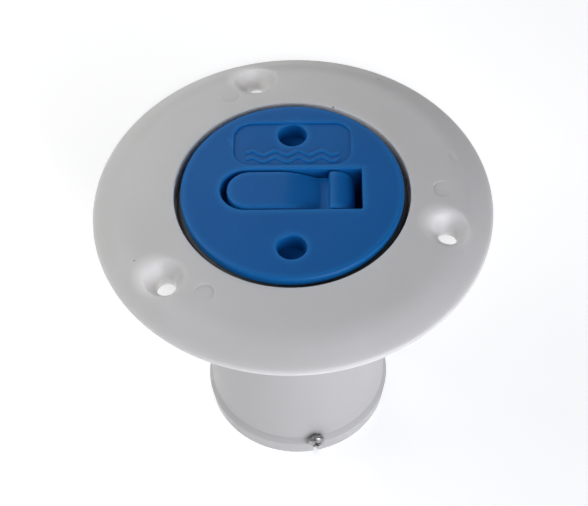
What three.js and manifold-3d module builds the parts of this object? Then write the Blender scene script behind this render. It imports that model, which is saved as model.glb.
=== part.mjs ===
// A flush deck fill cap: a flanged filler body with a hose tail, and a screw cap with a flip-up lever.
// Millimetres, +Z up. The origin is the centre of the hose tail's bottom rim. The lever lies along X
// with its tip towards -X, and its pin lies along Y.
import * as THREE from "three";
import { mergeVertices } from "three/addons/utils/BufferGeometryUtils.js";
import Module from "manifold-3d";

const wasm = await Module();
wasm.setup();

// Meshing and fits
const ROUND = 56; // sides of a large turned shape
const SMALL = 20; // sides of a small one
const ARC = 10; // segments of a small arc in an outline
const GAP = 0.3; // clearance between pieces that touch
const PAST = 1; // how far a cutter runs past the face that it cuts

// Filler body: hose tail, thread housing and flange. DECK_Z is the flange's flat underside, which
// rests on the deck, and the heights of the flange, the thread and the cap are counted from it.
const BORE_R = 22.5; // waterway through the tail
const TAIL_R = 25.5; // outside of the tail above its bead
const BEAD_R = 26.5; // bead that holds the hose on
const BEAD_TOP = 5.4;
const BEAD_RAMP = 2.2; // height of the slope above the bead
const RIM_R = 25.9; // the bead narrows to this at the bottom rim, to lead the hose on
const RIM_CHAMFER = 0.4;
const DECK_Z = 81.7;
const HOUSING_R = 30; // outside of the thread housing, which goes through the deck
const HOUSING_DEPTH = 22; // from the deck down to where the housing tapers
const HOUSING_TAPER = 8;
const FLANGE_R = 52;
const FLANGE_TOP = DECK_Z + 7.8; // at the mouth
const KNEE_R = 45.2; // bend between the gently sloping top and the bevel round it
const KNEE_Z = DECK_Z + 6.5;
const KNEE_RADIUS = 12.7;
const BEVEL_END = DECK_Z + 2.3; // where the bevel would meet the flange's widest radius
const BEVEL_RADIUS = 1.25;
const EDGE_Z = DECK_Z + 1.2; // lower end of the upright edge
const UNDERSIDE_R = 50.6; // where the flat underside ends
const MOUTH_R = 30.5; // opening that the cap sits in
const MOUTH_BEVEL = 0.25;
const LEDGE_Z = DECK_Z + 2.5; // ledge that the seal sits on
const THREAD_BORE_R = 27;
const THREAD_BORE_END = DECK_Z - 17.5; // lower end of the threaded bore
const BORE_CONE_END = DECK_Z - 24; // lower end of the cone down to the waterway

// Deck screw holes, three round the flange
const SCREW_CIRCLE_R = 41.6;
const SCREW_ANGLES = [104.2, 220.1, 343.7]; // degrees from +X, as drilled on this fitting
const SCREW_HOLE_R = 2.6;
const SINK_R = 5.2; // countersink at the surface
const SINK_DEPTH = 4; // where its cone meets the through hole
const SINK_TOP = DECK_Z + 6.9; // the flange's surface on the screw circle

// Chain anchor on the crest of the tail's bead, near the front
const ANCHOR_ANGLE = -78.5;
const ANCHOR_Z = 7.6;
const ANCHOR_FLAT_R = 26.2; // spot face that the head seats on, measured from the axis
const ANCHOR_SPOT_R = 2.9;
const ANCHOR_SCREW_TURN = 20; // how far round the cross recess was left
const KERF = 1.3; // slot from the anchor screw down through the rim
const M25_SHANK_R = 1.25;
const M25_HOLE_R = M25_SHANK_R + GAP;
const M25_TIP_CHAMFER = 0.4;
const M25_HEAD_R = 2.4;
const M25_HEAD = 1.7;
const M25_HEAD_SIDE = 0.6; // height of the head's upright side, under its dome
const M25_RECESS = 0.8; // depth of the cross recess
const M25_RECESS_ARM = 1.3;
const M25_RECESS_WIDTH = 0.7;
const M25_NUT_FLATS = 5;
const M25_NUT = 2;
const M25_TAIL = 0.8; // how far the anchor screw stands out past its nut
const EYELET = 0.8; // thickness of both stamped eyelets
const CHAIN_EYE_R = 1.2;
const TAB_HALF = 3.3; // anchor eyelet round its screw hole
const TAB_EYE_HALF = 2.4; // anchor eyelet round its chain eye
const TAB_EYE_REACH = 5.4; // from the screw hole up to the chain eye

// Thread: two starts, right-handed, with wide running clearance
const LEAD = 8;
const STARTS = 2;
const THREAD_SIDES = 24; // segments in one turn
const PLUG_ROOT_R = 24.8;
const PLUG_CREST_R = 26.4;
const PLUG_THREAD_FROM = DECK_Z - 14;
const PLUG_THREAD_TO = DECK_Z - 1;
const BODY_CREST_R = 25.3;
const BODY_THREAD_FROM = DECK_Z - 14.5;
const BODY_THREAD_TO = DECK_Z - 0.5;
const RIDGE_ROOT = 1.9; // axial widths of a ridge
const RIDGE_CREST = 1;
const RIDGE_SUNK = 0.4; // how far a ridge's foot goes into its wall

// Cap
const CAP_TOP = DECK_Z + 8.7;
const CAP_R = 28.8;
const CAP_EDGE = 0.8; // radius of the top edge
const CAP_LIP = 2.6; // thickness of the lip over the seal
const COLLAR_R = 26.7; // collar that the seal is stretched round
const COLLAR_END = DECK_Z + 1.2;
const COLLAR_TAPER = 1;
const PLUG_END = DECK_Z - 16;
const PLUG_CHAMFER = 0.8;
const PLUG_HOLLOW_R = 21.8;
const PLATE_Z = CAP_TOP - 7; // underside of the top plate
const SPANNER_Y = 18.75;
const SPANNER_R = 3.75;
const SPANNER_DEPTH = 5.5;
const PANEL_HALF = 15.3;
const PANEL_FROM = 8.1;
const PANEL_TO = 22.7;
const PANEL_CORNER = 4.6;
const PANEL_DEPTH = 0.6;
const SEAL_R = 1.5; // section of the ring
const SEAL_CENTRE_R = COLLAR_R + GAP + SEAL_R;
const SEAL_Z = LEDGE_Z + GAP + SEAL_R;

// Lever and its pocket
const PIVOT = { x: 10.9, z: CAP_TOP - 5.5 };
const SLOT_FROM = -18.5; // rounded end
const SLOT_TO = 18; // square end
const SLOT_HALF = 6.65;
const POCKET_FLOOR = CAP_TOP - 6.4; // under the tongue
const HEEL_POCKET_FROM = 4.5;
const HEEL_POCKET_FLOOR = CAP_TOP - 11.2;
const TUB_WALL = 2; // pocket walls that hang under the top plate
const TUB_FLOOR = 2.4;
const LEVER_TIP = -16.9;
const LEVER_HALF = 6.2;
const LEVER_TOP = CAP_TOP - 0.15;
const LEVER_BOTTOM = CAP_TOP - 4.8;
const LEVER_EDGE = 0.6; // chamfer on the tip's upper edge
const HEEL_R = 5.3;
const RISER_X = 9.4; // step from the finger dip up to the heel
const DIP_Z = LEVER_TOP - 2.6;
const DIP_FROM = -2.3; // where the tongue starts to curve down to the dip
const DIP_FLOOR_X = 7.4;
const PIN_R = 1.5;
const PIN_HALF = 12;
const PIN_BORE_R = PIN_R + GAP;
const PIN_BOSS_R = PIN_BORE_R + 1.8; // rib round the pin bore, under the top plate
const PIN_BOSS_FROM = 2 - PLUG_HOLLOW_R; // its end next to the plug's wall

// Chain swivel under the cap
const BOSS_R = 4;
const BOSS_END = DECK_Z - 10;
const SWIVEL_SHANK_END = DECK_Z - 3;
const SWIVEL_HOLE_END = SWIVEL_SHANK_END + GAP;
const SWIVEL_RING_R = 3.4;
const SWIVEL_TAB_X = 3;
const SWIVEL_TAB_HALF = 2;
const SWIVEL_EYE_Z = DECK_Z - 16.4;

const WHITE = { color: 0xe6e6e4, roughness: 0.45, metalness: 0 };
const BLUE = { color: 0x1f7fc8, roughness: 0.4, metalness: 0 };
const RUBBER = { color: 0x16171a, roughness: 0.8, metalness: 0 };
const STEEL = { color: 0xa9abad, roughness: 0.3, metalness: 1 };

const radians = THREE.MathUtils.degToRad;
const turns = (angle) => angle * 2 * Math.PI;

// A closed three.js geometry as a solid, with its faces turned outwards.
function solid(geometry) {
  const bare = new THREE.BufferGeometry();
  bare.setAttribute("position", geometry.getAttribute("position"));
  bare.setIndex(geometry.index);
  const merged = mergeVertices(bare, 1e-4);
  const corners = merged.index.array;
  const kept = [];
  for (let i = 0; i < corners.length; i += 3) {
    const [a, b, c] = corners.slice(i, i + 3);
    if (a !== b && b !== c && c !== a) kept.push([a, b, c]);
  }
  const vertProperties = merged.getAttribute("position").array;
  const made = (faces) => {
    const triVerts = new Uint32Array(faces.flat());
    return new wasm.Manifold(new wasm.Mesh({ numProp: 3, vertProperties, triVerts }));
  };
  const first = made(kept);
  return first.volume() > 0 ? first : made(kept.map(([a, b, c]) => [a, c, b]));
}

// A profile of [radius, height] points turned about Z. It closes on itself, or runs from axis to axis.
function turned(profile, sides = ROUND) {
  const points = profile.map(([r, z]) => new THREE.Vector2(r, z));
  return solid(new THREE.LatheGeometry(points, sides).rotateX(Math.PI / 2));
}

// Points on a quarter of an ellipse, from its widest level up to its top.
function quarterRound(centreR, centreZ, width, height, steps) {
  return Array.from({ length: steps + 1 }, (_, i) => {
    const angle = (i / steps) * (Math.PI / 2);
    return [centreR + width * Math.cos(angle), centreZ + height * Math.sin(angle)];
  });
}

// Points on the arc that rounds a profile's corner between the points before and after it.
function roundedCorner(before, corner, after, radius, steps) {
  const here = new THREE.Vector2(...corner);
  const back = new THREE.Vector2(...before).sub(here).normalize();
  const ahead = new THREE.Vector2(...after).sub(here).normalize();
  const half = back.angleTo(ahead) / 2;
  const middle = back.clone().add(ahead).normalize();
  const centre = here.clone().addScaledVector(middle, radius / Math.sin(half));
  const start = here.clone().addScaledVector(back, radius / Math.tan(half));
  const sweep = (2 * half - Math.PI) * Math.sign(back.cross(ahead));
  return Array.from({ length: steps + 1 }, (_, i) => {
    return start.clone().rotateAround(centre, (sweep * i) / steps).toArray();
  });
}

// A flat outline in X and Y, raised from one level to another.
function raised(shape, fromZ, toZ, curveSegments = ARC) {
  const settings = { depth: toZ - fromZ, bevelEnabled: false, curveSegments };
  const geometry = new THREE.ExtrudeGeometry(shape, settings);
  return solid(geometry.translate(0, 0, fromZ));
}

function block([x0, y0, z0], [x1, y1, z1]) {
  const geometry = new THREE.BoxGeometry(x1 - x0, y1 - y0, z1 - z0);
  return solid(geometry.translate((x0 + x1) / 2, (y0 + y1) / 2, (z0 + z1) / 2));
}

function rod(r, fromZ, toZ, sides = SMALL) {
  const geometry = new THREE.CylinderGeometry(r, r, toZ - fromZ, sides);
  return solid(geometry.rotateX(Math.PI / 2).translate(0, 0, (fromZ + toZ) / 2));
}

// A rod along Y.
function rodAlongY(r, fromY, toY, x, z) {
  const geometry = new THREE.CylinderGeometry(r, r, toY - fromY, SMALL);
  return solid(geometry.translate(x, (fromY + toY) / 2, z));
}

// Turns a solid that was made pointing along +Z so that +Z points outwards from the tail at the anchor.
function atAnchor(piece) {
  return piece.rotate([0, 90, 0]).rotate([0, 0, ANCHOR_ANGLE]).translate([0, 0, ANCHOR_Z]);
}

// A helix whose frames stay radial and axial, so that a section swept along it doesn't twist.
class Helix extends THREE.Curve {
  constructor(radius, fromZ, toZ, fromAngle) {
    super();
    Object.assign(this, { radius, fromZ, toZ, fromAngle });
  }
  angleAt(t) {
    return this.fromAngle + turns((t * (this.toZ - this.fromZ)) / LEAD);
  }
  getPoint(t, target = new THREE.Vector3()) {
    const angle = this.angleAt(t);
    const z = THREE.MathUtils.lerp(this.fromZ, this.toZ, t);
    return target.set(this.radius * Math.cos(angle), this.radius * Math.sin(angle), z);
  }
  computeFrenetFrames(steps) {
    const along = Array.from({ length: steps + 1 }, (_, i) => i / steps);
    const normals = along.map((t) => {
      const angle = this.angleAt(t);
      return new THREE.Vector3(Math.cos(angle), Math.sin(angle), 0);
    });
    const binormals = along.map(() => new THREE.Vector3(0, 0, 1));
    const tangents = along.map((t) => this.getTangent(t));
    return { tangents, normals, binormals };
  }
}

// All starts of a thread as ridges on a wall of rootR. A ridge's centre line keeps to
// z = datumZ + LEAD x turns, so two threads with datums half a pitch apart run between each other.
function threadRidges(rootR, crestR, fromZ, toZ, datumZ) {
  const out = Math.sign(crestR - rootR);
  const height = crestR - rootR;
  const section = new THREE.Shape([
    new THREE.Vector2(-out * RIDGE_SUNK, -RIDGE_ROOT / 2),
    new THREE.Vector2(height, -RIDGE_CREST / 2),
    new THREE.Vector2(height, RIDGE_CREST / 2),
    new THREE.Vector2(-out * RIDGE_SUNK, RIDGE_ROOT / 2),
  ]);
  const steps = Math.round(((toZ - fromZ) / LEAD) * THREAD_SIDES);
  const ridges = Array.from({ length: STARTS }, (_, start) => {
    const fromAngle = turns((fromZ - datumZ) / LEAD + start / STARTS);
    const extrudePath = new Helix(rootR, fromZ, toZ, fromAngle);
    return solid(new THREE.ExtrudeGeometry(section, { steps, bevelEnabled: false, extrudePath }));
  });
  return ridges.reduce((all, ridge) => all.add(ridge));
}

// One countersunk hole for a deck screw, cut from the flange's top surface.
function deckScrewHole(angle) {
  const cutter = turned(
    [
      [0, DECK_Z - PAST],
      [SCREW_HOLE_R, DECK_Z - PAST],
      [SCREW_HOLE_R, SINK_TOP - SINK_DEPTH],
      [SINK_R, SINK_TOP],
      [SINK_R, SINK_TOP + PAST],
      [0, SINK_TOP + PAST],
    ],
    SMALL,
  );
  return cutter.translate([SCREW_CIRCLE_R, 0, 0]).rotate([0, 0, angle]);
}

function fillerBody() {
  const housingEnd = DECK_Z - HOUSING_DEPTH;
  const edge = [FLANGE_R, EDGE_Z];
  const bevelEnd = [FLANGE_R, BEVEL_END];
  const knee = [KNEE_R, KNEE_Z];
  const mouth = [MOUTH_R + MOUTH_BEVEL, FLANGE_TOP];
  const shell = turned([
    [BORE_R, 0],
    [RIM_R - RIM_CHAMFER, 0],
    [RIM_R, RIM_CHAMFER],
    [BEAD_R, BEAD_TOP],
    [TAIL_R, BEAD_TOP + BEAD_RAMP],
    [TAIL_R, housingEnd - HOUSING_TAPER],
    [HOUSING_R, housingEnd],
    [HOUSING_R, DECK_Z],
    [UNDERSIDE_R, DECK_Z],
    edge,
    ...roundedCorner(edge, bevelEnd, knee, BEVEL_RADIUS, 3),
    ...roundedCorner(bevelEnd, knee, mouth, KNEE_RADIUS, 4),
    mouth,
    [MOUTH_R, FLANGE_TOP - MOUTH_BEVEL],
    [MOUTH_R, LEDGE_Z],
    [THREAD_BORE_R, LEDGE_Z],
    [THREAD_BORE_R, THREAD_BORE_END],
    [BORE_R, BORE_CONE_END],
    [BORE_R, 0],
  ]);
  const datum = PLUG_THREAD_FROM - LEAD / STARTS / 2;
  const thread = threadRidges(THREAD_BORE_R, BODY_CREST_R, BODY_THREAD_FROM, BODY_THREAD_TO, datum);
  const kerf = block([BORE_R - 2 * PAST, -KERF / 2, -PAST], [BEAD_R + PAST, KERF / 2, ANCHOR_Z]);
  const cutters = [
    ...SCREW_ANGLES.map(deckScrewHole),
    atAnchor(rod(M25_HOLE_R, BORE_R - 2 * PAST, BEAD_R + PAST)),
    atAnchor(rod(ANCHOR_SPOT_R, ANCHOR_FLAT_R, BEAD_R + PAST)),
    kerf.rotate([0, 0, ANCHOR_ANGLE]),
  ];
  return cutters.reduce((body, cutter) => body.subtract(cutter), shell.add(thread));
}

// A pan-head machine screw pointing down -Z, with the underside of its head at the origin.
function panHeadScrew(length) {
  const screw = turned(
    [
      [0, -length],
      [M25_SHANK_R - M25_TIP_CHAMFER, -length],
      [M25_SHANK_R, M25_TIP_CHAMFER - length],
      [M25_SHANK_R, 0],
      [M25_HEAD_R, 0],
      ...quarterRound(0, M25_HEAD_SIDE, M25_HEAD_R, M25_HEAD - M25_HEAD_SIDE, 4),
    ],
    SMALL,
  );
  const long = M25_RECESS_ARM;
  const half = M25_RECESS_WIDTH / 2;
  const floor = M25_HEAD - M25_RECESS;
  const cross = block([-long, -half, floor], [long, half, M25_HEAD + PAST]).add(
    block([-half, -long, floor], [half, long, M25_HEAD + PAST]),
  );
  return screw.subtract(cross);
}

const anchorHeadSeat = ANCHOR_FLAT_R + GAP;
const anchorEyeletFace = Math.sqrt(BORE_R ** 2 - TAB_HALF ** 2) - GAP; // flat tab inside the round bore
const anchorNutFace = anchorEyeletFace - EYELET - GAP;

function anchorScrew() {
  const length = anchorHeadSeat - anchorNutFace + M25_NUT + M25_TAIL;
  const screw = panHeadScrew(length).rotate([0, 0, ANCHOR_SCREW_TURN]);
  return atAnchor(screw.translate([0, 0, anchorHeadSeat]));
}

// A straight tab with round ends: one hole for the anchor screw and one eye for the chain above it.
function anchorEyelet() {
  const tab = new THREE.Shape();
  tab.absarc(0, 0, TAB_HALF, -Math.PI / 2, Math.PI / 2, false);
  tab.absarc(-TAB_EYE_REACH, 0, TAB_EYE_HALF, Math.PI / 2, (3 * Math.PI) / 2, false);
  tab.holes.push(new THREE.Path().absarc(0, 0, M25_HOLE_R, 0, turns(1), true));
  tab.holes.push(new THREE.Path().absarc(-TAB_EYE_REACH, 0, CHAIN_EYE_R, 0, turns(1), true));
  return atAnchor(raised(tab, anchorEyeletFace - EYELET, anchorEyeletFace));
}

function anchorNut() {
  const nut = new THREE.Shape();
  const corner = M25_NUT_FLATS / Math.sqrt(3);
  for (let side = 0; side < 6; side += 1) {
    const angle = turns(side / 6);
    if (side === 0) nut.moveTo(corner, 0);
    else nut.lineTo(corner * Math.cos(angle), corner * Math.sin(angle));
  }
  nut.holes.push(new THREE.Path().absarc(0, 0, M25_HOLE_R, 0, turns(1), true));
  return atAnchor(raised(nut, anchorNutFace - M25_NUT, anchorNutFace));
}

// The plan of the lever pocket, and of the lever: round towards -X, square towards +X.
function bulletOutline(fromX, toX, half) {
  const outline = new THREE.Shape();
  outline.moveTo(toX, -half);
  outline.lineTo(toX, half);
  outline.lineTo(fromX + half, half);
  outline.absarc(fromX + half, 0, half, Math.PI / 2, (3 * Math.PI) / 2, false);
  outline.lineTo(toX, -half);
  return outline;
}

function panelOutline() {
  const outline = new THREE.Shape();
  const inner = PANEL_HALF - PANEL_CORNER;
  const low = PANEL_FROM + PANEL_CORNER;
  const high = PANEL_TO - PANEL_CORNER;
  outline.absarc(inner, low, PANEL_CORNER, -Math.PI / 2, 0, false);
  outline.absarc(inner, high, PANEL_CORNER, 0, Math.PI / 2, false);
  outline.absarc(-inner, high, PANEL_CORNER, Math.PI / 2, Math.PI, false);
  outline.absarc(-inner, low, PANEL_CORNER, Math.PI, (3 * Math.PI) / 2, false);
  return outline;
}

function capShell() {
  const disc = turned([
    [0, PLATE_Z],
    [PLUG_HOLLOW_R, PLATE_Z],
    [PLUG_HOLLOW_R, PLUG_END],
    [PLUG_ROOT_R - PLUG_CHAMFER, PLUG_END],
    [PLUG_ROOT_R, PLUG_END + PLUG_CHAMFER],
    [PLUG_ROOT_R, COLLAR_END - COLLAR_TAPER],
    [COLLAR_R, COLLAR_END],
    [COLLAR_R, CAP_TOP - CAP_LIP],
    [CAP_R, CAP_TOP - CAP_LIP],
    ...quarterRound(CAP_R - CAP_EDGE, CAP_TOP - CAP_EDGE, CAP_EDGE, CAP_EDGE, 4),
    [0, CAP_TOP],
  ]);
  const datum = PLUG_THREAD_FROM;
  const thread = threadRidges(PLUG_ROOT_R, PLUG_CREST_R, PLUG_THREAD_FROM, PLUG_THREAD_TO, datum);
  const tubHalf = SLOT_HALF + TUB_WALL;
  const tubTop = CAP_TOP - PAST;
  const tub = block(
    [SLOT_FROM - TUB_WALL, -tubHalf, POCKET_FLOOR - TUB_FLOOR],
    [SLOT_TO + TUB_WALL, tubHalf, tubTop],
  );
  const heelTub = block(
    [HEEL_POCKET_FROM - TUB_WALL, -tubHalf, HEEL_POCKET_FLOOR - TUB_FLOOR],
    [SLOT_TO + TUB_WALL, tubHalf, tubTop],
  );
  const pinBoss = rodAlongY(PIN_BOSS_R, PIN_BOSS_FROM, PIN_HALF + TUB_WALL, PIVOT.x, PIVOT.z);
  const boss = rod(BOSS_R, BOSS_END, PLATE_Z + PAST);
  const above = CAP_TOP + PAST;
  const spannerHole = rod(SPANNER_R, CAP_TOP - SPANNER_DEPTH, above);
  const cutters = [
    raised(bulletOutline(SLOT_FROM, SLOT_TO, SLOT_HALF), POCKET_FLOOR, above),
    block([HEEL_POCKET_FROM, -SLOT_HALF, HEEL_POCKET_FLOOR], [SLOT_TO, SLOT_HALF, above]),
    spannerHole.translate([0, SPANNER_Y, 0]),
    spannerHole.translate([0, -SPANNER_Y, 0]),
    raised(panelOutline(), CAP_TOP - PANEL_DEPTH, above),
    rodAlongY(PIN_BORE_R, -CAP_R, PIN_HALF + GAP, PIVOT.x, PIVOT.z),
    rod(M25_HOLE_R, BOSS_END - PAST, SWIVEL_HOLE_END),
  ];
  const solids = [thread, tub, heelTub, pinBoss, boss].reduce((cap, piece) => cap.add(piece), disc);
  return cutters.reduce((cap, cutter) => cap.subtract(cutter), solids);
}

function capSeal() {
  const ring = new THREE.TorusGeometry(SEAL_CENTRE_R, SEAL_R, 10, ROUND);
  return solid(ring.translate(0, 0, SEAL_Z));
}

// The lever's side view, drawn with X to the right and Z up, then given its width along Y.
function lever() {
  const side = new THREE.Shape();
  const heelStart = Math.PI - Math.asin((LEVER_BOTTOM - PIVOT.z) / HEEL_R);
  const heelEnd = Math.acos((RISER_X - PIVOT.x) / HEEL_R);
  side.moveTo(LEVER_TIP, LEVER_BOTTOM);
  side.lineTo(PIVOT.x + HEEL_R * Math.cos(heelStart), LEVER_BOTTOM);
  side.absarc(PIVOT.x, PIVOT.z, HEEL_R, heelStart, heelEnd + turns(1), false);
  side.lineTo(RISER_X, DIP_Z);
  side.lineTo(DIP_FLOOR_X, DIP_Z);
  side.quadraticCurveTo((DIP_FROM + DIP_FLOOR_X) / 2, LEVER_TOP, DIP_FROM, LEVER_TOP);
  side.lineTo(LEVER_TIP + LEVER_EDGE, LEVER_TOP);
  side.lineTo(LEVER_TIP, LEVER_TOP - LEVER_EDGE);
  side.lineTo(LEVER_TIP, LEVER_BOTTOM);
  const profile = raised(side, -LEVER_HALF, LEVER_HALF).rotate([90, 0, 0]);
  const plan = raised(bulletOutline(LEVER_TIP, PIVOT.x + 2 * HEEL_R, LEVER_HALF), PLUG_END, CAP_TOP);
  const bore = rodAlongY(PIN_BORE_R, -LEVER_HALF - PAST, LEVER_HALF + PAST, PIVOT.x, PIVOT.z);
  return profile.intersect(plan).subtract(bore);
}

function swivelEyelet() {
  const top = BOSS_END - GAP;
  const ring = rod(SWIVEL_RING_R, top - EYELET, top);
  const tab = block(
    [SWIVEL_TAB_X, -SWIVEL_TAB_HALF, SWIVEL_EYE_Z],
    [SWIVEL_TAB_X + EYELET, SWIVEL_TAB_HALF, top],
  );
  const atEye = (piece) => piece.rotate([0, 90, 0]).translate([SWIVEL_TAB_X, 0, SWIVEL_EYE_Z]);
  return ring
    .subtract(rod(M25_HOLE_R, top - EYELET - PAST, top + PAST))
    .add(tab)
    .add(atEye(rod(SWIVEL_TAB_HALF, 0, EYELET)))
    .subtract(atEye(rod(CHAIN_EYE_R, -PAST, EYELET + PAST)));
}

function swivelScrew() {
  const seat = BOSS_END - EYELET - 2 * GAP;
  return panHeadScrew(SWIVEL_SHANK_END - seat).rotate([180, 0, 0]).translate([0, 0, seat]);
}

function mesh(name, piece, look) {
  const { vertProperties, triVerts } = piece.getMesh();
  const geometry = new THREE.BufferGeometry();
  geometry.setAttribute("position", new THREE.BufferAttribute(vertProperties, 3));
  geometry.setIndex(new THREE.BufferAttribute(triVerts, 1));
  const flat = geometry.toNonIndexed();
  flat.computeVertexNormals();
  const made = new THREE.Mesh(flat, new THREE.MeshStandardMaterial(look));
  made.name = name;
  return made;
}

const deckFillCap = new THREE.Group();
deckFillCap.name = "deck_fill_cap";
deckFillCap.add(
  mesh("filler_body", fillerBody(), WHITE),
  mesh("anchor_screw", anchorScrew(), STEEL),
  mesh("anchor_eyelet", anchorEyelet(), STEEL),
  mesh("anchor_nut", anchorNut(), STEEL),
  mesh("cap_shell", capShell(), BLUE),
  mesh("cap_seal", capSeal(), RUBBER),
  mesh("lever", lever(), BLUE),
  mesh("lever_pin", rodAlongY(PIN_R, -PIN_HALF, PIN_HALF, PIVOT.x, PIVOT.z), STEEL),
  mesh("swivel_screw", swivelScrew(), STEEL),
  mesh("swivel_eyelet", swivelEyelet(), STEEL),
);

export default deckFillCap;
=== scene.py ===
import math

import bmesh
import bpy
from mathutils import Matrix, Vector


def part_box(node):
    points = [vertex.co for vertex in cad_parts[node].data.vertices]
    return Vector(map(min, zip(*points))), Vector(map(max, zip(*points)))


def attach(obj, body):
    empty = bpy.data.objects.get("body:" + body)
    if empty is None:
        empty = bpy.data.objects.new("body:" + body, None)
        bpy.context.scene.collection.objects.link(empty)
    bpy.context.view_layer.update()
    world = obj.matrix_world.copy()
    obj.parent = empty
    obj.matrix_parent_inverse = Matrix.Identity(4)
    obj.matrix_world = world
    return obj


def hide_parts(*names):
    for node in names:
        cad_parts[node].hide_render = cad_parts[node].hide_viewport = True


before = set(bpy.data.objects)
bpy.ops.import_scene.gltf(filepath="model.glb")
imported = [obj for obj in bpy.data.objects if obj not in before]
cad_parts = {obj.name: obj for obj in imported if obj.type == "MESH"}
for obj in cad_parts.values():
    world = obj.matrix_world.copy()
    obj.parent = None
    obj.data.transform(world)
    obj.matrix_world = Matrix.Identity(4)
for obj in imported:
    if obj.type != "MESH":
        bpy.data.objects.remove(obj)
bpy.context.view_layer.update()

MM = 0.001
ARC_ERROR = 0.005  # how far a rounded corner's segments may stray from the true arc


def node_box(name):
    """A CAD node's lowest and highest corners, in millimetres."""
    low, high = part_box(name)
    return low / MM, high / MM


_, body_high = node_box("filler_body")
cap_low, cap_high = node_box("cap_shell")
seal_low, seal_high = node_box("cap_seal")
lever_low, lever_high = node_box("lever")
pin_low, pin_high = node_box("lever_pin")
boss_screw_low, boss_screw_high = node_box("swivel_screw")

# Filler body. DECK is the flange's flat underside, and the other heights are counted from it.
FLANGE_R = body_high.x
FLANGE_TOP = body_high.z
DECK = FLANGE_TOP - 7.8
MOUTH_R = 30.5
KNEE_R = 45.2
KNEE = DECK + 6.5
KNEE_BEND = 12.7
BEVEL_END = DECK + 2.3
EDGE_BEND = 1.25
UNDERSIDE_R = 50.6
EDGE = DECK + 1.2
FLANGE_SLOPE = (FLANGE_TOP - KNEE) / (KNEE_R - MOUTH_R)
LEDGE = DECK + 2.5
HOUSING_R = 30
HOUSING_END = DECK - 22
TAIL_R = 25.5
BEAD_R = 26.5
BEAD_TOP = 5.4
BEAD_RAMP = 2.2
RIM_R = 25.9
BORE_R = 22.5
BORE_CONE_END = DECK - 24
THREAD_BORE_R = 27
THREAD_BORE_END = DECK - 17.5
SCREW_CIRCLE_R = 41.6
SCREW_ANGLES = [math.radians(a) for a in (104.2, 220.1, 343.7)]
SCREW_HOLE_R = 2.6
SINK_R = 5.3
SINK_RIM = 2.6  # radius of the soft bend at a countersink's rim
SINK_DEPTH = 3.8
ANCHOR_ANGLE = math.radians(-78.5)
ANCHOR_Z = 7.6
ANCHOR_FLAT_R = 26.2  # the flat that the head seats on, measured from the axis
ANCHOR_SPOT_R = 2.9
KERF = 1.3
EJECTOR_MARKS = [(-21.6, -31.5, 2.5), (38.9, 0.8, 2.5), (-16.9, 34.1, 2.5), (43.2, 12.8, 2.2)]

# Thread, right-handed
LEAD = 8
STARTS = 2
RIDGE_WIDTH = 1.9
CREST_WIDTH = 1.0
RIDGE_DEPTH = {"plug": 1.6, "body": 1.7}
PLUG_ROOT_R = 24.8
PLUG_THREAD = (DECK - 14, DECK - 1)
BODY_THREAD = (DECK - 14.5, DECK - 0.5)

# Cap
CAP_R = cap_high.x
CAP_TOP = cap_high.z
PLUG_END = cap_low.z
CAP_EDGE = 0.8
CAP_LIP = 2.6
PLATE = CAP_TOP - 7
COLLAR_R = 26.7
COLLAR_END = DECK + 1.2
PLUG_HOLLOW_R = 21.8
SPANNER_Y = 18.75
SPANNER_R = 3.75
SPANNER_DEPTH = 5.5
PANEL_HALF = 15.3
PANEL_Y = (8.1, 22.7)
PANEL_CORNER = 4.6
PANEL_DEPTH = 0.6
SLOT_X = (-18.5, 18)
SLOT_HALF = 6.65
POCKET_FLOOR = CAP_TOP - 6.4
HEEL_POCKET_X = 4.5
HEEL_POCKET_FLOOR = CAP_TOP - 11.2
TUB_WALL = 2
TUB_FLOOR = 2.4
BOSS_R = 4
BOSS_END = DECK - 10
PIN_BOSS_R = 3.6

# Lever
PIVOT_X = (pin_low.x + pin_high.x) / 2
PIVOT_Z = (pin_low.z + pin_high.z) / 2
PIN_R = (pin_high.x - pin_low.x) / 2
PIN_CLEARANCE = 0.3
HEEL_R = lever_high.x - PIVOT_X
LEVER_HALF = lever_high.y
LEVER_TIP = lever_low.x
LEVER_TOP = lever_high.z
LEVER_BOTTOM = PIVOT_Z + 0.7
DIP_FROM = -2.3
DIP_FLOOR_X = 7.4
DIP = 2.6
RISER_X = 9.4
TONGUE_EDGE = 0.75

# M2.5 pan-head screws, and what the anchor screw clamps
SHANK_R = 1.25
SHANK_HOLE_R = 1.55
PITCH = 0.45
HEAD_R = 2.4
HEAD = 1.7
GAP = 0.3
TAB_HALF = 3.3
EYELET = 0.8
NUT = 2
SCREW_TAIL = 0.8
ANCHOR_SCREW_TURN = math.radians(20)


# ---------------------------------------------------------------- shapes


def rounded(corners, steps=None):
    """An outline through (x, y, radius) corners. An arc has steps segments, or as many as it needs."""
    points = []
    for i, (x, y, radius) in enumerate(corners):
        here = Vector((x, y))
        if radius == 0:
            points.append((x, y))
            continue
        before = (Vector(corners[i - 1][:2]) - here).normalized()
        after = (Vector(corners[(i + 1) % len(corners)][:2]) - here).normalized()
        half = before.angle(after) / 2
        centre = here + (before + after).normalized() * (radius / math.sin(half))
        start = here + before * (radius / math.tan(half)) - centre
        end = here + after * (radius / math.tan(half)) - centre
        first = math.atan2(start.y, start.x)
        sweep = (math.atan2(end.y, end.x) - first + math.pi) % (2 * math.pi) - math.pi
        count = steps or max(3, math.ceil(abs(sweep) * math.sqrt(radius / (8 * ARC_ERROR))))
        for k in range(count + 1):
            angle = first + sweep * k / count
            points.append((centre.x + radius * math.cos(angle), centre.y + radius * math.sin(angle)))
    return points


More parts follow.
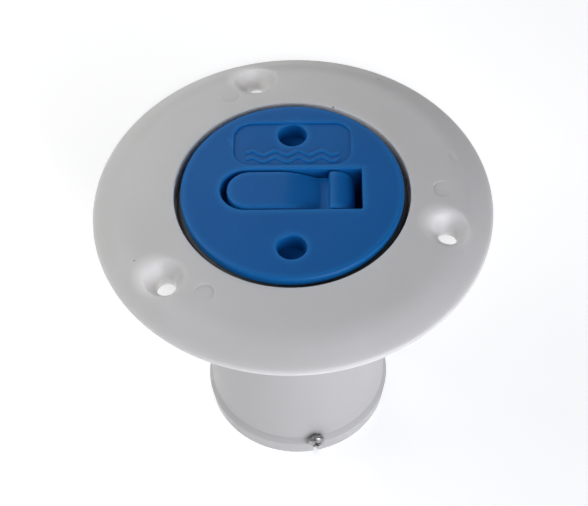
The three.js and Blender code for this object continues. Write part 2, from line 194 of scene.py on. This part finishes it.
def split_long(outline, longest):
    """A closed outline with points added so that no straight run is much longer than longest."""
    points = []
    for a, b in zip(outline, outline[1:] + outline[:1]):
        steps = max(1, math.ceil(math.dist(a, b) / longest))
        for k in range(steps):
            points.append((a[0] + (b[0] - a[0]) * k / steps, a[1] + (b[1] - a[1]) * k / steps))
    return points


def rings_to_faces(bm, rings, closed_round, closed_along):
    """Faces between neighbouring rings of vertices. A ring of one vertex is a point."""
    pairs = list(zip(rings, rings[1:] + rings[:1]))
    for a, b in pairs if closed_along else pairs[:-1]:
        count = max(len(a), len(b))
        if count == 1:
            continue
        for i in range(count if closed_round else count - 1):
            j = (i + 1) % count
            corners = [a[i % len(a)], a[j % len(a)], b[j % len(b)], b[i % len(b)]]
            bm.faces.new(list(dict.fromkeys(corners)))


def as_object(bm):
    """Turns a bmesh into an object with its faces' normals outwards."""
    bmesh.ops.recalc_face_normals(bm, faces=bm.faces)
    mesh = bpy.data.meshes.new("shape")
    bm.to_mesh(mesh)
    bm.free()
    shape = bpy.data.objects.new("shape", mesh)
    bpy.context.scene.collection.objects.link(shape)
    return shape


def turned(profile, sides=192):
    """A closed profile of (radius, height) points turned about Z."""
    bm = bmesh.new()
    rings = []
    for r, z in profile:
        if r < 1e-6:
            rings.append([bm.verts.new((0, 0, z))])
            continue
        angles = [2 * math.pi * i / sides for i in range(sides)]
        rings.append([bm.verts.new((r * math.cos(a), r * math.sin(a), z)) for a in angles])
    rings_to_faces(bm, rings, True, True)
    return as_object(bm)


def lofted(sections):
    """A solid with flat ends through closed sections of 3D points, all with as many points."""
    bm = bmesh.new()
    rings = [[bm.verts.new(p) for p in section] for section in sections]
    rings_to_faces(bm, rings, True, False)
    bm.faces.new(rings[0])
    bm.faces.new(rings[-1])
    return as_object(bm)


def sunk(outline, floor, top, edge, steps=5):
    """A cutter with the plan outline(grow). It flares at its top and leaves a rounded edge."""
    angles = [k / steps * math.radians(86) for k in range(steps + 1)]
    levels = [(floor, 0)]
    levels += [(top - edge + edge * math.sin(a), edge * (1 - math.cos(a))) for a in angles]
    levels += [(top + 1, edge * 1.05)]
    return lofted([[(x, y, z) for x, y in outline(grow)] for z, grow in levels])


def circle(x, y, r, sides=48):
    """A function that gives a circle's outline, grown by some amount."""
    angles = [2 * math.pi * i / sides for i in range(sides)]
    return lambda grow: [(x + (r + grow) * math.cos(a), y + (r + grow) * math.sin(a)) for a in angles]


def rod(r, low, high):
    """The profile to turn for a plain cylinder."""
    return [(0, low), (r, low), (r, high), (0, high)]


def block(low, high):
    (x0, y0, z0), (x1, y1, z1) = low, high
    plan = [(x0, y0), (x1, y0), (x1, y1), (x0, y1)]
    return lofted([[(x, y, z) for x, y in plan] for z in (z0, z1)])


def moved(shape, matrix):
    shape.data.transform(matrix)
    return shape


def combine(base, others, operation):
    """Joins other shapes to base, or cuts them from it, and removes them."""
    for other in others:
        modifier = base.modifiers.new("boolean", "BOOLEAN")
        modifier.operation = operation
        modifier.solver = "MANIFOLD"
        modifier.object = other
    graph = bpy.context.evaluated_depsgraph_get()
    mesh = bpy.data.meshes.new_from_object(base.evaluated_get(graph))
    base.modifiers.clear()
    base.data = mesh
    for other in others:
        bpy.data.objects.remove(other)
    return base


def ridge_section(depth):
    """How far out a thread ridge's sunken foot is, and the ridge's section as (out, up) points."""
    foot = -math.copysign(0.4, depth)
    shoulder = CREST_WIDTH / 2 + 0.08
    crest = CREST_WIDTH / 2 - 0.12
    return foot, [
        (foot, -RIDGE_WIDTH / 2), (depth * 0.85, -shoulder), (depth, -crest),
        (depth, crest), (depth * 0.85, shoulder), (foot, RIDGE_WIDTH / 2),
    ]


def thread_ridges(root_r, depth, levels, datum, sides=72):
    """A thread's ridges on a wall of root_r. Depth is negative for a thread inside a bore."""
    low, high = levels
    steps = round((high - low) / LEAD * sides)
    foot, section = ridge_section(depth)
    ridges = []
    for start in range(STARTS):
        rings = []
        for k in range(steps + 1):
            z = low + (high - low) * k / steps
            angle = 2 * math.pi * ((z - datum) / LEAD + start / STARTS)
            fade = min(1.0, (k + 1) / 8, (steps + 1 - k) / 8)
            ring = []
            for out, up in section:
                r = root_r + (out if out == foot else out * fade)
                ring.append((r * math.cos(angle), r * math.sin(angle), z + up * (0.4 + 0.6 * fade)))
            rings.append(ring)
        ridges.append(lofted(rings))
    return ridges


# ---------------------------------------------------------------- materials


class Nodes:
    """A new material and a short way to add and link its nodes."""

    def __init__(self, name):
        self.material = bpy.data.materials.new(name)
        self.material.use_nodes = True
        self.tree = self.material.node_tree
        self.shader = self.tree.nodes["Principled BSDF"]

    def add(self, kind, inputs=None, **settings):
        node = self.tree.nodes.new(kind)
        for key, value in settings.items():
            setattr(node, key, value)
        for key, value in (inputs or {}).items():
            self.put(node, key, value)
        return node

    def put(self, node, key, value):
        """Sets a node's input to a value, or links an output to it."""
        if isinstance(value, bpy.types.NodeSocket):
            self.tree.links.new(value, node.inputs[key])
        else:
            node.inputs[key].default_value = value

    def place(self):
        """The point being shaded, in metres, in the piece's own space."""
        return self.add("ShaderNodeTexCoord").outputs["Object"]

    def noise(self, scale, detail=3, roughness=0.55):
        """Noise from 0 to 1 at a scale in features per metre."""
        settings = {"Vector": self.place(), "Scale": scale, "Detail": detail, "Roughness": roughness}
        return self.add("ShaderNodeTexNoise", settings).outputs["Fac"]

    def spread(self, value, low, high, to_low, to_high):
        """Value, from low to high, mapped to to_low to to_high."""
        settings = {"Value": value, 1: low, 2: high, 3: to_low, 4: to_high}
        return self.add("ShaderNodeMapRange", settings).outputs["Result"]

    def blend(self, factor, a, b):
        """Colour a where factor is 0 and b where it is 1."""
        mix = self.add("ShaderNodeMix", data_type="RGBA")
        for index, value in ((0, factor), (6, a), (7, b)):
            self.put(mix, index, value)
        return mix.outputs[2]

    def painted_edge_glow_mask(self, reach):
        """Mask for painted edge light: 1 at an outside edge, where plastic is thin and lets light through,
        and 0 away from it.
        """
        inside = self.add(
            "ShaderNodeAmbientOcclusion", {"Distance": reach}, inside=True, only_local=True, samples=6,
        )
        return self.spread(inside.outputs["AO"], 0.96, 0.55, 0, 1)

    def distance_to(self, points):
        """Distance in metres from the point being shaded to the nearest of some points."""
        nearest = 1.0
        for point in points:
            away = self.add("ShaderNodeVectorMath", {0: self.place(), 1: point}, operation="DISTANCE")
            pair = {0: nearest, 1: away.outputs["Value"]}
            nearest = self.add("ShaderNodeMath", pair, operation="MINIMUM").outputs[0]
        return nearest

    def bump(self, *layers):
        """Stacks (height, strength, distance in metres) layers into one normal."""
        normal = None
        for height, strength, distance in layers:
            settings = {"Height": height, "Strength": strength, "Distance": distance}
            if normal:
                settings["Normal"] = normal
            normal = self.add("ShaderNodeBump", settings).outputs["Normal"]
        self.put(self.shader, "Normal", normal)


def plastic_colour(n, main, deep, wear_and_glow_colour, painted_shade_below_deck, glow):
    """Flow clouds, fine marks, paler edges that are partly wear and partly painted light, painted light on
    one side of each countersink, painted shade below deck, and dark specks.
    """
    clouds = n.noise(38, 4, 0.6)
    colour = n.blend(n.spread(clouds, 0.35, 0.7, 0, 1), main, deep)
    fine = n.noise(900, 2)
    colour = n.blend(n.spread(fine, 0.62, 0.8, 0, 0.25), colour, wear_and_glow_colour)
    # Paler sharp edges: partly wear, partly painted glow.
    edge = n.add("ShaderNodeNewGeometry").outputs["Pointiness"]
    colour = n.blend(n.spread(edge, 0.515, 0.58, 0, 0.35), colour, wear_and_glow_colour)
    # Painted glow: outside edges made paler, as if light came through the thin plastic.
    painted_glow_amount = n.add("ShaderNodeMath", {0: n.painted_edge_glow_mask(0.0022), 1: glow}, operation="MULTIPLY").outputs[0]
    colour = n.blend(painted_glow_amount, colour, wear_and_glow_colour)
    # Painted light: a pale patch on each countersink, on the side the lamps come from.
    sink_painted_light = n.spread(n.distance_to(PAINTED_SINK_LIGHT_SPOTS), 0.0022, 0.0066, 0.75, 0)
    colour = n.blend(sink_painted_light, colour, PAINTED_SINK_LIGHT_COLOUR)
    # Painted shade: darker colour below the deck, where the flange shades the tail and plug.
    height = n.add("ShaderNodeSeparateXYZ", {"Vector": n.place()}).outputs["Z"]
    colour = n.blend(n.spread(height, (DECK - 4) * MM, DECK * MM, 1, 0), colour, painted_shade_below_deck)
    cells = n.add("ShaderNodeTexVoronoi", {"Vector": n.place(), "Scale": 90}).outputs["Distance"]
    return n.blend(n.spread(cells, 0.02, 0.035, 0.75, 0), colour, SPECK_COLOUR)


def plastic(name, colours, roughness, specular, scatter, scatter_depth, glow):
    """Moulded plastic: its colours, light that scatters inside it, fine rubs and an orange-peel skin."""
    n = Nodes(name)
    n.put(n.shader, "Base Color", plastic_colour(n, *colours, glow))
    rubs = n.noise(140, 5, 0.7)
    n.put(n.shader, "Roughness", n.spread(rubs, 0.3, 0.75, roughness - 0.06, roughness + 0.08))
    n.put(n.shader, "Specular IOR Level", specular)
    n.put(n.shader, "Subsurface Weight", scatter)
    n.put(n.shader, "Subsurface Radius", (1.0, 0.95, 0.9))
    n.put(n.shader, "Subsurface Scale", scatter_depth)
    n.bump((n.noise(60, 2), 0.25, 0.0004), (n.noise(1500, 2), 0.12, 0.00008))
    return n.material


def steel(name):
    """Stainless steel, turned and a little dulled."""
    n = Nodes(name)
    grain = n.noise(2600, 2)
    dull = n.noise(300, 4)
    colour = n.blend(n.spread(dull, 0.4, 0.7, 0, 1), (0.42, 0.41, 0.4, 1), (0.26, 0.255, 0.25, 1))
    n.put(n.shader, "Base Color", colour)
    n.put(n.shader, "Metallic", 1.0)
    n.put(n.shader, "Roughness", n.spread(dull, 0.3, 0.7, 0.18, 0.36))
    n.bump((grain, 0.1, 0.00003))
    return n.material


def rubber(name):
    """Black rubber with a dusty bloom."""
    n = Nodes(name)
    bloom = n.noise(260, 4)
    dusty = n.blend(n.spread(bloom, 0.45, 0.75, 0, 1), (0.055, 0.052, 0.05, 1), (0.09, 0.086, 0.084, 1))
    n.put(n.shader, "Base Color", dusty)
    n.put(n.shader, "Roughness", n.spread(bloom, 0.3, 0.7, 0.45, 0.68))
    n.bump((n.noise(1800, 2), 0.2, 0.00005))
    return n.material


SPECK_COLOUR = (0.03, 0.03, 0.03, 1)
# Painted light: the plastic is thin at the countersinks, and each one is painted paler on the side the
# lamps come from, standing in for light that gets through.
PAINTED_SINK_LIGHT_COLOUR = (0.95, 0.94, 0.93, 1)
PAINTED_SINK_LIGHT_OFFSET = Vector((-2.3, 1.6, DECK + 6))
PAINTED_SINK_LIGHT_SPOTS = [
    (Vector((SCREW_CIRCLE_R * math.cos(a), SCREW_CIRCLE_R * math.sin(a), 0)) + PAINTED_SINK_LIGHT_OFFSET) * MM
    for a in SCREW_ANGLES
]

# Each plastic's main colour, its deeper clouds, its paler edge colour for wear and painted edge glow, and
# its colour below the deck, darker as painted shade
WHITE = ((0.635, 0.63, 0.63, 1), (0.61, 0.605, 0.595, 1), (0.69, 0.685, 0.685, 1), (0.475, 0.47, 0.47, 1))
BLUE = ((0.003, 0.112, 0.37, 1), (0.0025, 0.102, 0.345, 1), (0.01, 0.18, 0.5, 1), (0.0025, 0.1, 0.335, 1))
white_plastic = plastic(
    "white_plastic", WHITE, roughness=0.45, specular=0.4, scatter=0.8, scatter_depth=0.004, glow=0.3,
)
blue_plastic = plastic(
    "blue_plastic", BLUE, roughness=0.42, specular=0.2, scatter=0.3, scatter_depth=0.001, glow=0.8,
)
steel_material = steel("stainless_steel")
rubber_material = rubber("black_rubber")


# ---------------------------------------------------------------- pieces


def use_steel(names):
    """Gives CAD nodes that keep their shape the steel material."""
    for name in names:
        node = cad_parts[name]
        node.data.materials.clear()
        node.data.materials.append(steel_material)


def finish_piece(shape, name, body, material, replaces=(), smooth=32):
    """Scales a shape to metres and makes it a piece of the object."""
    shape.name = name
    shape.data.name = name
    shape.data.transform(Matrix.Scale(MM, 4))
    for polygon in shape.data.polygons:
        polygon.use_smooth = True
    shape.data.set_sharp_from_angle(angle=math.radians(smooth))
    weighted = shape.modifiers.new("weighted normals", "WEIGHTED_NORMAL")
    weighted.keep_sharp = True
    shape.data.materials.clear()
    shape.data.materials.append(material)
    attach(shape, body)
    if replaces:
        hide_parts(*replaces)
    return shape


def at_anchor(shape):
    """Moves a shape that points along +Z so that it points outwards from the tail at the anchor."""
    turn = Matrix.Rotation(ANCHOR_ANGLE, 4, "Z") @ Matrix.Rotation(math.pi / 2, 4, "Y")
    return moved(shape, Matrix.Translation((0, 0, ANCHOR_Z)) @ turn)


def flange_height(r):
    """Height of the flange's top at a radius between the mouth and the knee."""
    return FLANGE_TOP - FLANGE_SLOPE * (r - MOUTH_R)


def deck_screw_hole(angle):
    """Cutter for one countersunk hole: a soft rim, a cone and the through hole."""
    top = flange_height(SCREW_CIRCLE_R)
    profile = rounded([
        (0, DECK - 1, 0), (SCREW_HOLE_R, DECK - 1, 0), (SCREW_HOLE_R, top - SINK_DEPTH, 0.6),
        (SINK_R, top, SINK_RIM), (9, top + 0.02, 0), (9, top + 2, 0), (0, top + 2, 0),
    ], 8)
    lean = Matrix.Rotation(math.atan(FLANGE_SLOPE), 4, "Y")
    place = Matrix.Rotation(angle, 4, "Z") @ Matrix.Translation((SCREW_CIRCLE_R, 0, top))
    return moved(turned(profile, 64), place @ lean @ Matrix.Translation((0, 0, -top)))


def ejector_mark(x, y, size):
    """Cutter for a faint round mark that an ejector pin leaves on the flange."""
    top = flange_height(math.hypot(x, y))
    return sunk(circle(x, y, size), top - 0.16, top + 0.04, 0.18, 3)


def filler_profile():
    """The filler body's section: up the tail's outside, over the flange, and down the mouth."""
    return rounded([
        (BORE_R, BORE_CONE_END, 0), (BORE_R, 0, 0.4), (RIM_R, 0, 0.6), (BEAD_R, BEAD_TOP, 0.5),
        (TAIL_R, BEAD_TOP + BEAD_RAMP, 0.8), (TAIL_R, HOUSING_END - 8, 3), (HOUSING_R, HOUSING_END, 2),
        (HOUSING_R, DECK, 0.4), (UNDERSIDE_R, DECK, 0.8), (FLANGE_R, EDGE, 0.8),
        (FLANGE_R, BEVEL_END, EDGE_BEND), (KNEE_R, KNEE, KNEE_BEND), (MOUTH_R, FLANGE_TOP, 0.3),
        (MOUTH_R, LEDGE, 0), (THREAD_BORE_R, LEDGE, 0), (THREAD_BORE_R, THREAD_BORE_END, 0),
    ])


def anchor_cutters():
    """Cutters for the anchor screw's hole, the flat under its head and the kerf below it."""
    hole = turned(rod(SHANK_HOLE_R, BORE_R - 2, BEAD_R + 1), 32)
    spot = [(0, ANCHOR_FLAT_R), (ANCHOR_SPOT_R, ANCHOR_FLAT_R), (ANCHOR_SPOT_R + 0.2, BEAD_R + 1)]
    flat = turned(spot + [(0, BEAD_R + 1)], 48)
    kerf = block((BORE_R - 2, -KERF / 2, -1), (BEAD_R + 1, KERF / 2, ANCHOR_Z))
    return [at_anchor(hole), at_anchor(flat), moved(kerf, Matrix.Rotation(ANCHOR_ANGLE, 4, "Z"))]


def filler_moulding():
    body = turned(split_long(filler_profile(), 1.5), 224)
    datum = PLUG_THREAD[0] - LEAD / STARTS / 2
    combine(body, thread_ridges(THREAD_BORE_R, -RIDGE_DEPTH["body"], BODY_THREAD, datum), "UNION")
    cutters = [deck_screw_hole(angle) for angle in SCREW_ANGLES]
    cutters += [ejector_mark(*mark) for mark in EJECTOR_MARKS]
    combine(body, cutters + anchor_cutters(), "DIFFERENCE")
    return finish_piece(
        body, "filler_moulding", "filler", white_plastic, ["filler_body"],
    )


def slot_outline(grow):
    """The lever pocket's plan: round towards -X, square with small corners towards +X."""
    half = SLOT_HALF + grow
    left, right = SLOT_X[0] - grow, SLOT_X[1] + grow
    corner = 0.5 + grow
    round_end = half - 0.001
    return rounded([
        (right, -half, corner), (right, half, corner), (left, half, round_end), (left, -half, round_end),
    ], 14)


def panel_outline(grow):
    """The plan of the recessed panel with the wavy lines."""
    x = PANEL_HALF + grow
    low, high = PANEL_Y[0] - grow, PANEL_Y[1] + grow
    corner = PANEL_CORNER + grow
    return rounded([(x, low, corner), (x, high, corner), (-x, high, corner), (-x, low, corner)], 10)


def wave(y):
    """A raised wavy stroke along X with round ends: a generic sign for water."""
    length, waves, swing, half_width = 24.2, 4, 0.72, 0.52
    left = [(-1, -0.3), (-1, 0.14), (-0.85, 0.27), (-0.5, 0.34)]
    section = left + [(-side, up) for side, up in reversed(left)]
    steps = 144
    turn = 2 * math.pi * waves / length
    strokes = []
    for k in range(steps + 1):
        x = -math.cos(math.pi * k / steps) / 2 * length
        slope = swing * turn * math.cos(turn * x)
        across = Vector((-slope, 1, 0)).normalized()
        centre = Vector((x, y + swing * math.sin(turn * x), CAP_TOP - PANEL_DEPTH))
        from_end = min(1, (length / 2 - abs(x) + 0.02) / half_width)
        width = half_width * math.sqrt(1 - (1 - from_end) ** 2)
        strokes.append([centre + across * (side * width) + Vector((0, 0, up)) for side, up in section])
    return lofted(strokes)


def about_pin(profile, sides=48):
    """A shape turned about the lever's pin, from a profile of (radius, Y)."""
    along_y = Matrix.Translation((PIVOT_X, 0, PIVOT_Z)) @ Matrix.Rotation(-math.pi / 2, 4, "X")
    return moved(turned(profile, sides), along_y)


def cap_blank():
    """The cap's disc, collar and threaded plug, with the tub for the lever and the bosses in the plug."""
    profile = rounded([
        (0, PLATE, 0), (PLUG_HOLLOW_R, PLATE, 1), (PLUG_HOLLOW_R, PLUG_END, 0.4),
        (PLUG_ROOT_R, PLUG_END, 0.9), (PLUG_ROOT_R, COLLAR_END - 1, 0.6), (COLLAR_R, COLLAR_END, 0.3),
        (COLLAR_R, CAP_TOP - CAP_LIP, 0.3), (CAP_R, CAP_TOP - CAP_LIP, 0.3), (CAP_R, CAP_TOP, CAP_EDGE),
        (0, CAP_TOP, 0),
    ])
    cap = turned(split_long(profile, 1.5), 224)
    half = SLOT_HALF + TUB_WALL
    high = (SLOT_X[1] + TUB_WALL, half, CAP_TOP - 1)
    tub = block((SLOT_X[0] - TUB_WALL, -half, POCKET_FLOOR - TUB_FLOOR), high)
    heel_tub = block((HEEL_POCKET_X - TUB_WALL, -half, HEEL_POCKET_FLOOR - TUB_FLOOR), high)
    boss = rounded([(0, BOSS_END, 0), (BOSS_R, BOSS_END, 0.5), (BOSS_R, PLATE + 1, 0), (0, PLATE + 1, 0)])
    pin_boss = about_pin(rod(PIN_BOSS_R, 2 - PLUG_HOLLOW_R, pin_high.y + TUB_WALL))
    ridges = thread_ridges(PLUG_ROOT_R, RIDGE_DEPTH["plug"], PLUG_THREAD, PLUG_THREAD[0])
    return combine(cap, [tub, heel_tub, turned(boss, 48), pin_boss, *ridges], "UNION")


def cap_moulding():
    cap = cap_blank()
    panel_floor = CAP_TOP - PANEL_DEPTH
    spanner_floor = CAP_TOP - SPANNER_DEPTH
    cutters = [
        sunk(panel_outline, panel_floor, CAP_TOP, 0.3),
        sunk(slot_outline, POCKET_FLOOR, CAP_TOP, 0.35),
        block((HEEL_POCKET_X, -SLOT_HALF, HEEL_POCKET_FLOOR), (SLOT_X[1], SLOT_HALF, CAP_TOP - 2)),
        sunk(circle(0, SPANNER_Y, SPANNER_R), spanner_floor, panel_floor, 0.3),
        sunk(circle(0, -SPANNER_Y, SPANNER_R), spanner_floor, CAP_TOP, 0.4),
        about_pin(rod(PIN_R + PIN_CLEARANCE, -CAP_R, pin_high.y + PIN_CLEARANCE)),
        turned(rod(SHANK_HOLE_R, BOSS_END - 1, boss_screw_high.z + PIN_CLEARANCE), 32),
    ]
    combine(cap, cutters, "DIFFERENCE")
    combine(cap, [wave(12.6), wave(10.3)], "UNION")
    return finish_piece(cap, "cap_moulding", "cap", blue_plastic, ["cap_shell"])


def lever_drop(x, y):
    """How far the lever's upper surface is below its top: a flat tongue that curves down to the dip."""
    reach = x + 0.8 * (y / LEVER_HALF) ** 2 - DIP_FROM
    t = min(1.0, max(0.0, reach / (DIP_FLOOR_X - DIP_FROM)))
    return DIP * t * t * (1.35 - 0.35 * t * t)


def lever_section(x, rise):
    """The lever's cross-section at X. Rise is 0 on the tongue and 1 on the heel's round top."""
    inset = x - LEVER_TIP
    half = math.sqrt(LEVER_HALF**2 - max(0, LEVER_HALF - inset) ** 2)
    reach = x - PIVOT_X
    below = math.sqrt(max(0, HEEL_R**2 - reach**2))
    bottom = min(LEVER_BOTTOM, PIVOT_Z - below) if below > 0 else LEVER_BOTTOM
    corner = min(TONGUE_EDGE, half * 0.95)
    tip = TONGUE_EDGE - math.sqrt(TONGUE_EDGE**2 - max(0, TONGUE_EDGE - inset) ** 2)
    angles = [k / 6 * math.pi / 2 for k in range(7)]
    right = [(half - corner + corner * math.cos(a), corner * math.sin(a) - corner) for a in angles]
    middle = [((half - corner) * (1 - k / 8), 0) for k in range(1, 16)]
    ring = [(x, -half, bottom), (x, half, bottom)]
    for y, z in right + middle + [(-y, z) for y, z in reversed(right)]:
        dip = LEVER_TOP - lever_drop(min(x, RISER_X), y) - tip
        crest = PIVOT_Z + below
        ring.append((x, y, max(dip + (crest - dip) * rise + z, bottom + 0.05)))
    return ring


def finger_lever():
    """The lever as cross-sections along X, from the tongue's round tip to the heel."""
    tip_centre = LEVER_TIP + LEVER_HALF
    tips = [tip_centre - LEVER_HALF * math.cos(k / 20 * math.pi / 2) for k in range(1, 20)]
    tongue = [tip_centre + k * (RISER_X - tip_centre) / 60 for k in range(60)]
    heel = [PIVOT_X + HEEL_R * math.cos(math.radians(a)) for a in range(96, 1, -4)]
    stations = [(x, 0) for x in tips + tongue + [RISER_X - 0.1]]
    stations += [(RISER_X + 0.05, 0.55), (RISER_X + 0.2, 0.88), (RISER_X + 0.5, 1)]
    stations += [(x, 1) for x in heel if x > RISER_X + 0.6]
    lever = lofted([lever_section(x, rise) for x, rise in stations])
    bore = about_pin(rod(PIN_R + PIN_CLEARANCE, -LEVER_HALF - 1, LEVER_HALF + 1))
    combine(lever, [bore], "DIFFERENCE")
    return finish_piece(lever, "finger_lever", "lever", blue_plastic, ["lever"], 40)


def seal_ring():
    section_r = (seal_high.z - seal_low.z) / 2
    centre_r = seal_high.x - section_r
    centre_z = (seal_high.z + seal_low.z) / 2
    angles = [2 * math.pi * k / 28 for k in range(28)]
    profile = [(centre_r + section_r * math.cos(a), centre_z + section_r * math.sin(a)) for a in angles]
    ring = turned(profile, 192)
    return finish_piece(ring, "seal_ring", "cap", rubber_material, ["cap_seal"], 60)


def cross_recess():
    """The two arms of the cross in a screw's head, to cut away."""
    arms = []
    for turn in (0, math.pi / 2):
        plan = [(-1.35, -0.33), (1.35, -0.33), (1.35, 0.33), (-1.35, 0.33)]
        narrow = [(x * 0.4, y * 0.7) for x, y in plan]
        arm = lofted([[(x, y, HEAD - 1.1) for x, y in narrow], [(x, y, HEAD + 0.3) for x, y in plan]])
        arms.append(moved(arm, Matrix.Rotation(turn, 4, "Z")))
    return arms


def pan_head(length):
    """A pan-head screw pointing down -Z, with a thread of rings on its shank and a cross recess."""
    profile = [(0, -length), (SHANK_R - 0.45, -length)]
    for k in range(int((length - 1.2) / PITCH)):
        z = -length + 0.5 + k * PITCH
        profile += [(SHANK_R - 0.22, z), (SHANK_R, z + PITCH * 0.45), (SHANK_R, z + PITCH * 0.55)]
    profile += [(SHANK_R, -0.2), (SHANK_R, 0)]
    profile += rounded([
        (SHANK_R, 0, 0), (HEAD_R, 0, 0.2), (HEAD_R, HEAD * 0.62, 0.5), (HEAD_R * 0.62, HEAD, 1.0),
        (0, HEAD, 0),
    ], 6)[1:]
    return combine(turned(profile, 64), cross_recess(), "DIFFERENCE")


def anchor_set():
    """The anchor screw, and its eyelet and nut inside the tail."""
    seat = ANCHOR_FLAT_R + GAP
    nut_face = math.sqrt(BORE_R**2 - TAB_HALF**2) - EYELET - 2 * GAP
    length = seat - nut_face + NUT + SCREW_TAIL
    place = Matrix.Translation((0, 0, seat)) @ Matrix.Rotation(ANCHOR_SCREW_TURN, 4, "Z")
    screw = at_anchor(moved(pan_head(length), place))
    finish_piece(
        screw, "anchor_pan_screw", "filler", steel_material, ["anchor_screw"], 35,
    )
    use_steel(["anchor_eyelet", "anchor_nut"])


def cap_fittings():
    """The swivel screw, and the metal pieces that keep their CAD shape."""
    seat = boss_screw_low.z + HEAD
    place = Matrix.Translation((0, 0, seat)) @ Matrix.Rotation(math.pi, 4, "X")
    screw = moved(pan_head(boss_screw_high.z - seat), place)
    finish_piece(
        screw, "swivel_pan_screw", "cap", steel_material, ["swivel_screw"], 35,
    )
    use_steel(["lever_pin", "swivel_eyelet"])


filler_moulding()
cap_moulding()
finger_lever()
seal_ring()
anchor_set()
cap_fittings()


# ---------------------------------------------------------------- studio

FLOOR_GLOW = 0.42
# Painted shadow: the floor glows less in a soft disc behind the flange.
SHADE_GLOW = 0.14  # the floor glows less in the shade behind the flange
SHADE_CENTRE = (-0.002, 0.0717, 0)
LIT_POINT = Vector((0, 0, 0.07))
COOL = (0.97, 0.98, 1.05)


def studio_floor():
    """A pale floor that glows a little, so that it looks as near white as the photo's background, with a
    painted shadow where it glows less behind the flange.
    """
    bpy.ops.mesh.primitive_plane_add(size=6, location=(0, 0, 0))
    floor = bpy.context.object
    floor.name = "studio_floor"
    n = Nodes("studio_floor")
    n.put(n.shader, "Base Color", (0.93, 0.93, 0.93, 1))
    n.put(n.shader, "Roughness", 0.9)
    n.put(n.shader, "Emission Color", (1, 1, 1, 1))
    away = n.distance_to([SHADE_CENTRE])
    n.put(n.shader, "Emission Strength", n.spread(away, 0.046, 0.066, SHADE_GLOW, FLOOR_GLOW))
    floor.data.materials.append(n.material)


def softbox(name, azimuth, elevation, distance, size, power, colour=(1, 1, 1)):
    """A square soft light that looks at the object from a compass direction (0 is +X, 90 is +Y)."""
    turn, rise = math.radians(azimuth), math.radians(elevation)
    toward = Vector((math.cos(rise) * math.cos(turn), math.cos(rise) * math.sin(turn), math.sin(rise)))
    light = bpy.data.lights.new(name, "AREA")
    light.shape = "SQUARE"
    light.size = size
    light.energy = power
    light.color = colour
    lamp = bpy.data.objects.new(name, light)
    lamp.location = LIT_POINT + toward * distance
    lamp.rotation_mode = "QUATERNION"
    lamp.rotation_quaternion = (-toward).to_track_quat("-Z", "Y")
    bpy.context.scene.collection.objects.link(lamp)


def sky(light, seen):
    """An even sky that lights the object by one strength and is seen at another."""
    world = bpy.data.worlds.new("studio")
    world.use_nodes = True
    tree = world.node_tree
    background = tree.nodes["Background"]
    background.inputs["Color"].default_value = (0.95, 0.97, 1, 1)
    strength = tree.nodes.new("ShaderNodeMapRange")
    strength.inputs[3].default_value = light
    strength.inputs[4].default_value = seen
    rays = tree.nodes.new("ShaderNodeLightPath")
    tree.links.new(rays.outputs["Is Camera Ray"], strength.inputs["Value"])
    tree.links.new(strength.outputs["Result"], background.inputs["Strength"])
    bpy.context.scene.world = world


def camera():
    """A camera above the front, turned a little to its left, as the object was photographed."""
    distance = 0.400
    elevation, azimuth, roll = math.radians(53.04), math.radians(1.68), math.radians(-1.88)
    aim = Vector((0.0002, -0.0091, 0.0750))
    back = Vector((
        math.sin(azimuth) * math.cos(elevation),
        -math.cos(azimuth) * math.cos(elevation),
        math.sin(elevation),
    ))
    lens = bpy.data.cameras.new("camera")
    lens.sensor_width = 36
    lens.lens = 93.86
    lens.clip_start = 0.01
    eye = bpy.data.objects.new("camera", lens)
    eye.location = aim + back * distance
    eye.rotation_mode = "QUATERNION"
    level = (-back).to_track_quat("-Z", "Y")
    eye.rotation_quaternion = level @ Matrix.Rotation(roll, 3, "Z").to_quaternion()
    bpy.context.scene.collection.objects.link(eye)
    bpy.context.scene.camera = eye


studio_floor()
softbox("front_right", -50, 16, 0.7, 0.35, 2.55, COOL)
softbox("front_upper", -70, 36, 0.8, 0.35, 1.3, COOL)
softbox("back_left", 170, 42, 0.34, 0.26, 0.52)
softbox("back", 105, 36, 0.5, 0.3, 0.5)
sky(0.1, 0.85)
camera()
bpy.context.scene.view_settings.view_transform = "Standard"
